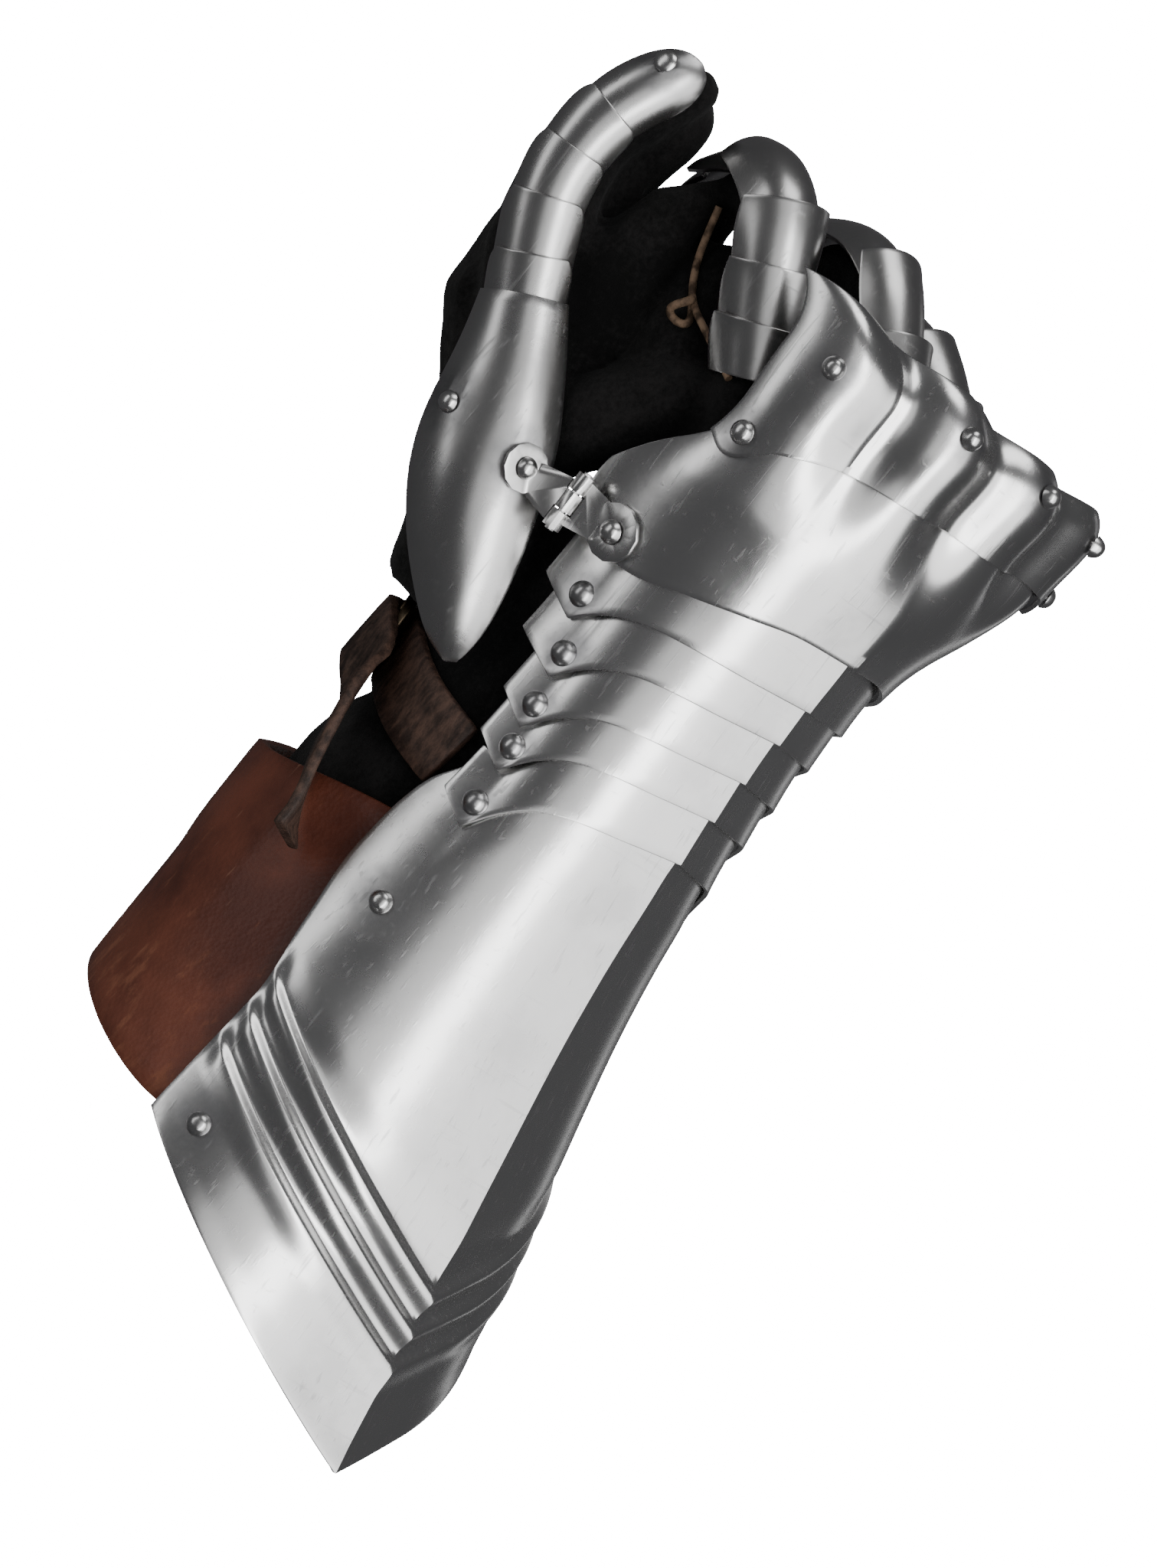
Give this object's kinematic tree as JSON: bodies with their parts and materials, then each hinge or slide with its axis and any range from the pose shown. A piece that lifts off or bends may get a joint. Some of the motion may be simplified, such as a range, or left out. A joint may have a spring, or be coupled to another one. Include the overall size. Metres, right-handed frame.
{
  "type": "armoured gauntlet",
  "caption": "Right-hand steel gauntlet: keeled pointed cuff, lapped wrist lames, fluted hand plate and scaled fingers over a suede glove.",
  "frame": {"origin": "middle of the wrist, on the forearm's axis, where a wrist carries the gauntlet", "axes": "+Z from the forearm to the hand, -Y out of the back of the hand, -X towards the thumb"},
  "size_m": [0.1542, 0.1322, 0.2989],
  "materials": {
    "steel": "polished steel plate with fine brushed scratches",
    "rivet_steel": "polished steel",
    "brown_leather": "waxed reddish-brown leather with light wear",
    "dark_leather": "dark brown leather with a rough cut edge",
    "black_suede": "black suede with a soft nap",
    "bronze": "darkened bronze"
  },
  "bodies": {
    "root": {"buckle_frame": "bronze", "buckle_tongue": "bronze", "cuff_panel": "brown_leather", "cuff_plate": "steel", "cuff_rivet_lower_little_side": "rivet_steel", "cuff_rivet_lower_thumb_side": "rivet_steel", "cuff_rivet_upper_little_side": "rivet_steel", "cuff_rivet_upper_thumb_side": "rivet_steel", "gadling_index": "rivet_steel", "gadling_little": "rivet_steel", "gadling_middle": "rivet_steel", "gadling_ring": "rivet_steel", "glove": "black_suede", "hinge_leaf_hand": "steel", "hinge_leaf_thumb": "steel", "hinge_pin": "rivet_steel", "hinge_rivet_hand": "rivet_steel", "hinge_rivet_thumb": "rivet_steel", "index_scale_1": "steel", "index_scale_2": "steel", "index_scale_3": "steel", "index_scale_4": "steel", "index_scale_5": "steel", "index_scale_6": "steel", "index_scale_7": "steel", "knuckle_plate": "steel", "little_scale_1": "steel", "little_scale_2": "steel", "little_scale_3": "steel", "little_scale_4": "steel", "metacarpal_plate": "steel", "middle_scale_1": "steel", "middle_scale_2": "steel", "middle_scale_3": "steel", "middle_scale_4": "steel", "middle_scale_5": "steel", "pivot_little_side": "rivet_steel", "pivot_thumb_side": "rivet_steel", "ring_scale_1": "steel", "ring_scale_2": "steel", "ring_scale_3": "steel", "ring_scale_4": "steel", "ring_scale_5": "steel", "thumb_plate": "steel", "thumb_rivet": "rivet_steel", "thumb_scale_1": "steel", "thumb_scale_2": "steel", "thumb_scale_3": "steel", "thumb_scale_4": "steel", "thumb_tip": "steel", "tip_rivet": "rivet_steel", "wrist_lame_1": "steel", "wrist_lame_2": "steel", "wrist_lame_3": "steel", "wrist_lame_4": "steel", "wrist_lame_5": "steel", "wrist_strap": "dark_leather"}
  },
  "joints": []
}
